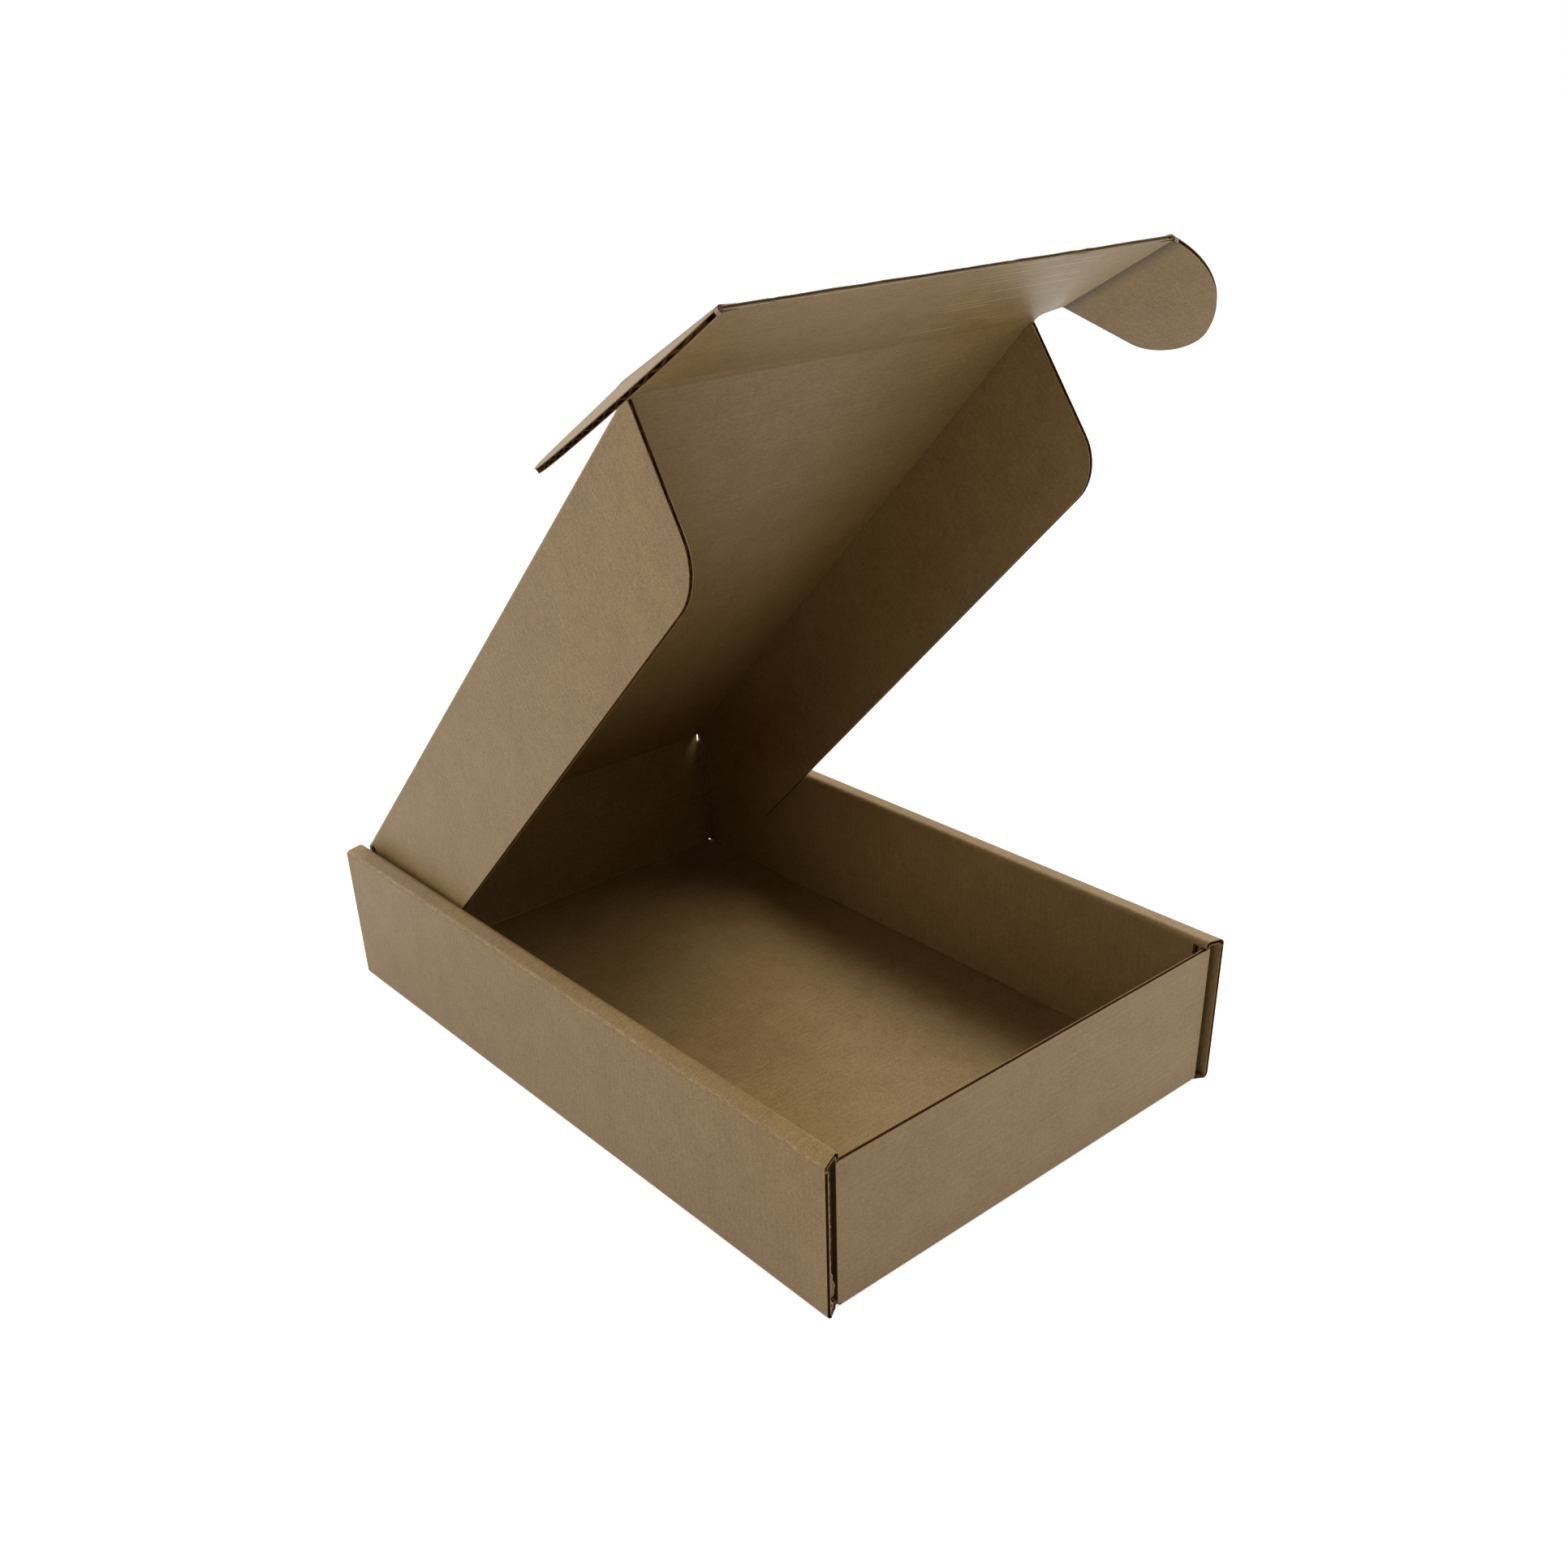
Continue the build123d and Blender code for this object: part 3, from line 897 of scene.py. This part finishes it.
# %% Foot of the corner
FOOT = ((110.6, -175.4), (115.3, -178.2), (115.3, -174.0), (110.6, -174.0))  # x and y in mm
FOOT_LOW, FOOT_HIGH = 0.1, 1.9  # mm
for side, side_name in ((-1, "left"), (1, "right")):
    foot = flat_disc(f"floor_point_{side_name}", len(FOOT))
    for vertex, (x, y) in zip(foot.data.vertices, FOOT):
        vertex.co = mm(side * x, y, FOOT_LOW)
    edit(foot)
    bpy.ops.mesh.select_all(action="SELECT")
    bpy.ops.mesh.extrude_region_move(
        TRANSFORM_OT_translate={"value": mm(0, 0, FOOT_HIGH - FOOT_LOW)}
    )
    bpy.ops.mesh.select_all(action="SELECT")
    bpy.ops.mesh.normals_make_consistent(inside=False)
    leave_edit()
    finish_scrap(foot, fluting_and_shade)

# %% [markdown]
# ## Lid panel
#
# The lid has no cut edge of its own: it is folded on all four sides. It keeps the CAD node, with
# the same paper on it.

# %% Lid panel
lid = frame["nodes"]["lid_panel"]
lid.data.materials.clear()
lid.data.materials.append(liner_material("lid_panel", "lid_panel"))
print("lid panel:", len(lid.data.polygons), "triangles")

# %% [markdown]
# ## Scored folds
#
# Where a panel turns, the board is scored: a blunt rule crushes the flutes, and the liners run on
# over the crushed line, the outer one in a soft bead and the inner one in a crisp crease, beside
# which painted shade darkens the paper a little. The CAD model has a gap there, because its bodies
# must not touch. A strip of paper closes the gap on each face. It starts as a flat strip, and its
# cells are
# laid along a section: sunk into one panel, up over the score and down into the other. On an ear
# the strip follows the round outline, and gets the same painted shade as the ear's paper there.

# %% Fold strips
BEAD_TOP, CREASE_TOP = 1.3, 1.23  # mm from the middle of a score to the paper outside and inside
BEAD_ROWS = ((6.4, 0.98), (3.4, 1.04), (1.9, 1.12), (1.1, 1.22))  # mm from the score, mm of height
CREASE_ROWS = ((6.4, 0.98), (3.4, 1.05), (1.7, 1.13), (0.6, 1.19))  # the same on the inner face
CREASE_SHADE = (0, 0, 0, 0, 0.16, 0.16, 0.13, 0.06, 0)  # how dark each row is painted as shade
STRIP_MM = 0.14
SOFT_BEND, CRISP_BEND = 40, 8  # degrees up to which a strip is smoothed
OUTLINE_MARGIN = 0.15  # mm that a strip stays inside the outline of an ear
PANEL_START = 1.6  # mm from its score, where the flat of an ear begins
HINGE_SPAN, FLAP_SPAN, EAR_SPAN = (-104.6, 104.6), (-99.1, 99.1), (0.4, 56.5)  # mm along the score


def fold_strip(name, bodies, joint, axis, spans, section, painted_shade=None):
    """A strip of liner laid along a score between two bodies, with the flutes of the second. The
    section is a list of offsets from the score in mm. spans says where each row of the section
    starts and ends along the score, and the last argument how dark each row is painted as shade."""
    origin = Vector(joints[joint]["pos_m"])
    strip = flat_strip(name, len(section) - 1)
    painted_shade_values = strip.data.attributes.new("painted_shade", "FLOAT", "POINT")
    for vertex in strip.data.vertices:
        row = round((vertex.co.x + 1) / 2 * (len(section) - 1))
        run = spans[row][vertex.co.y > 0]
        vertex.co = origin + mm(1) * (axis * run + section[row])
        painted_shade_values.data[vertex.index].value = painted_shade[row] if painted_shade else 0
    half = len(section) // 2
    if strip.data.polygons[half].normal.dot(section[half]) < 0:
        strip.data.flip_normals()
    thicken(strip, STRIP_MM, -1, CRISP_BEND if painted_shade else SOFT_BEND)
    strip.data.materials.append(liner_material(name, bodies[1], has_painted_shade=bool(painted_shade)))
    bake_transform(strip)
    print(name, "bends between", *bodies)


# An ear's inner strip takes the same painted shade as the ear's own paper.
def ear_shade_at(far):
    """How dark the painted shade on an ear is at a distance from its score, as its material paints
    it.
    """
    share = min(far / EAR_SHADE_MM, 1)
    return EAR_SHADE_SHARE * (1 - share * share * (3 - 2 * share))


def span_on(node, axis, into, far, span):
    """The part of a span along a score that still lies on an ear, at a distance from the score."""
    origin = score_of(node)
    offsets = [corner - origin for corner in outlines[node]]
    corners = [(offset.dot(into) * 1000, offset.dot(axis) * 1000) for offset in offsets]
    runs = crossings(corners, max(far, PANEL_START))
    return max(span[0], min(runs) + OUTLINE_MARGIN), min(span[1], max(runs) - OUTLINE_MARGIN)


def score_strips(joint, bodies, axis, span, into_first, out_first):
    """The two strips over a score, on the outer and on the inner face."""
    node, is_ear = bodies[1], bodies[1] in EARS
    out_second = panels[node]["out"]
    into_second = panels[node]["along" if is_ear else "over"]
    if into_second.dot(into_first) > 0:
        into_second = -into_second
    faces = ((1, "outer", BEAD_ROWS, BEAD_TOP), (-1, "inner", CREASE_ROWS, CREASE_TOP))
    for side, face, rows, top in faces:
        section = [into_first * far + out_first * side * high for far, high in rows]
        section.append((out_first + out_second).normalized() * side * top)
        section += [into_second * far + out_second * side * high for far, high in rows[::-1]]
        spans = [span] * len(section)
        dark = CREASE_SHADE if face == "inner" else None
        if is_ear:
            fars = [far for far, high in rows[::-1]]
            spans[len(rows) + 1 :] = [span_on(node, axis, into_second, far, span) for far in fars]
            if dark:
                dark = [0] * len(rows) + [ear_shade_at(far) for far in (0, *fars)]
        fold_strip(f"{joint}_{face}_paper", bodies, joint, axis, spans, section, dark)


lid_out = panels["lid_panel"]["out"]
lid_over = panels["lid_panel"]["over"]
lid_forward = lid_over if lid_over.z > 0 else -lid_over
down_wall, out_of_wall = Vector((0, 0, -1)), Vector((0, 1, 0))
hinge, flap_fold = ("tray", "lid_panel"), ("lid_panel", "tuck_flap")
score_strips("lid_hinge", hinge, across_box, HINGE_SPAN, down_wall, out_of_wall)
score_strips("tuck_flap_fold", flap_fold, across_box, FLAP_SPAN, -lid_forward, lid_out)
for ear, joint in EARS.items():
    axis = panels[ear]["over"]
    axis = -axis if axis.dot(lid_forward) > 0 else axis
    into_flap = flap_out.cross(axis).normalized()
    into_flap = -into_flap if into_flap.dot(panels[ear]["along"]) > 0 else into_flap
    score_strips(joint, ("tuck_flap", ear), axis, EAR_SPAN, into_flap, flap_out)

# %% [markdown]
# ## Folds between lid and wings
#
# A wing turns about its inner upper edge, so only the outer face needs a strip: up the wing, round
# the lid's edge, and on to the lid.

# %% Wing folds
EDGE_ROUND, EDGE_RISE = 1.4, 0.09  # mm, the rounding of the lid's edge and the paper over it
ROUND_OUT, ROUND_UP = 0.6, 0.72  # mm from the wing's score to the middle of the rounding
WING_ROWS = ((3.4, 1.98), (2.4, 2.03), (1.2, 2.07), (0.3, 2.09))  # mm down the wing, and outwards
LID_ROWS = ((0.6, 2.17), (1.8, 2.1))  # mm in over the lid, and up
WING_SPAN = (4.4, 346.1)  # mm along the score
for wing, joint in WINGS.items():
    axis = panels[wing]["over"]
    axis = axis if axis.dot(lid_forward) > 0 else -axis
    wing_out, down_wing = panels[wing]["out"], panels[wing]["along"]
    outwards = lid_out.cross(axis).normalized()
    outwards = outwards if outwards.dot(wing_out) > 0 else -outwards
    section = [down_wing * down + wing_out * high for down, high in WING_ROWS]
    for angle in (0, 22.5, 45, 67.5, 90):
        sideways = ROUND_OUT + (EDGE_ROUND + EDGE_RISE) * cos(radians(angle))
        upwards = ROUND_UP + (EDGE_ROUND + EDGE_RISE) * sin(radians(angle))
        section.append(outwards * sideways + lid_out * upwards)
    section += [outwards * -back_in + lid_out * high for back_in, high in LID_ROWS]
    spans = [WING_SPAN] * len(section)
    fold_strip(f"{joint}_paper", ("lid_panel", wing), joint, axis, spans, section)

# %% [markdown]
# ## Floor and light
#
# The box stands in a white sweep. In the photo its outside is evenly lit, the top of the tuck flap
# and of its right ear are the brightest, and the inside of the lid goes nearly black: most of the
# light comes from the right, half way up, and a weaker one fills in from the left. One lamp
# overhead, which would be the usual start, gives bright rims and a bright inside instead. So six
# large softboxes stand round the box, and their strengths were found by rendering each alone and
# fitting the sum to the photo. The floor throws light up under the lid. It would render grey in
# its own light, so for the eye and for reflections alone it glows a little, and the studio behind
# it is plain white.

# %% Floor and light
SOFTBOX_SIZE, SOFTBOX_DISTANCE = 1.3, 2.2  # metres
SOFTBOXES = (  # degrees round from the front, degrees up, watts
    (50, 45, 25), (95, 45, 25), (-85, 15, 10), (-125, 45, 8), (-125, 75, 8), (-165, 15, 9),
)
LIT_POINT = mm(0, 0, 150)
FLOOR_GLOW, STUDIO_FILL = 0.74, 0.03
GLOW_START, GLOW_END = 0.45, 1.5  # metres from the box, between which the glow grows to white


def seen_directly(tree):
    """1 for what the camera sees, straight or in a reflection, 0 for all other light."""
    rays = add_node(tree, "LightPath", {}).outputs
    seen = rays["Is Camera Ray"], rays["Is Glossy Ray"]
    return add_node(tree, "Math", {"operation": "MAXIMUM"}, *seen)


bpy.ops.object.select_all(action="DESELECT")
bpy.ops.mesh.primitive_plane_add(size=14, location=(0, 0, 0))
floor = bpy.context.object
floor.name = "floor"
floor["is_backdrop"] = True
floor_material, tree = new_material("white_studio_floor")
white = add_node(tree, "BsdfDiffuse", {}, Color=linear("E8E8E6"))
metres = add_node(tree, "TexCoord", {}).outputs["Object"]
away = add_node(tree, "VectorMath", {"operation": "LENGTH"}, metres).outputs["Value"]
strength = add_node(tree, "MapRange", SOFTLY, away, GLOW_START, GLOW_END, FLOOR_GLOW, 1.0)
strength = add_node(tree, "Math", {"operation": "MULTIPLY"}, seen_directly(tree), strength)
glow = add_node(tree, "Emission", {}, Strength=strength)
both = add_node(tree, "AddShader", {}, white, glow)
add_node(tree, "OutputMaterial", {}, Surface=both)
floor.data.materials.append(floor_material)

world = bpy.data.worlds.new("studio")
bpy.context.scene.world = world
world.use_nodes = True
tree = world.node_tree
tree.nodes.clear()
levels = 1 - STUDIO_FILL, STUDIO_FILL
strength = add_node(tree, "Math", {"operation": "MULTIPLY_ADD"}, seen_directly(tree), *levels)
studio = add_node(tree, "Background", {}, Color=linear("FFFFFF"), Strength=strength)
add_node(tree, "OutputWorld", {}, Surface=studio)

for bearing, height, watts in SOFTBOXES:
    lamp = bpy.data.lights.new(f"softbox_{bearing}_{height}", "AREA")
    lamp.shape, lamp.size, lamp.energy = "DISK", SOFTBOX_SIZE, watts
    softbox = bpy.data.objects.new(lamp.name, lamp)
    round_box, up_high = radians(bearing), radians(height)
    flat = cos(up_high)
    towards = Vector((sin(round_box) * flat, -cos(round_box) * flat, sin(up_high)))
    softbox.location = LIT_POINT + towards * SOFTBOX_DISTANCE
    softbox.rotation_euler = towards.to_track_quat("Z", "Y").to_euler()
    bpy.context.scene.collection.objects.link(softbox)
    print("softbox at", bearing, "degrees round and", height, "up:", watts, "W")
bpy.context.scene.view_settings.view_transform = "Standard"

# %% [markdown]
# ## Size
#
# Blender must not change the size of the box, so the box around the CAD model and the one around
# the finished model are written down to be compared.

# %% Sizes
bpy.context.view_layer.update()
new_low, new_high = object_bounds()
grown = [round((b - a) * 1000, 2) for a, b in zip(cad_high - cad_low, new_high - new_low)]
print("grown in mm:", grown)
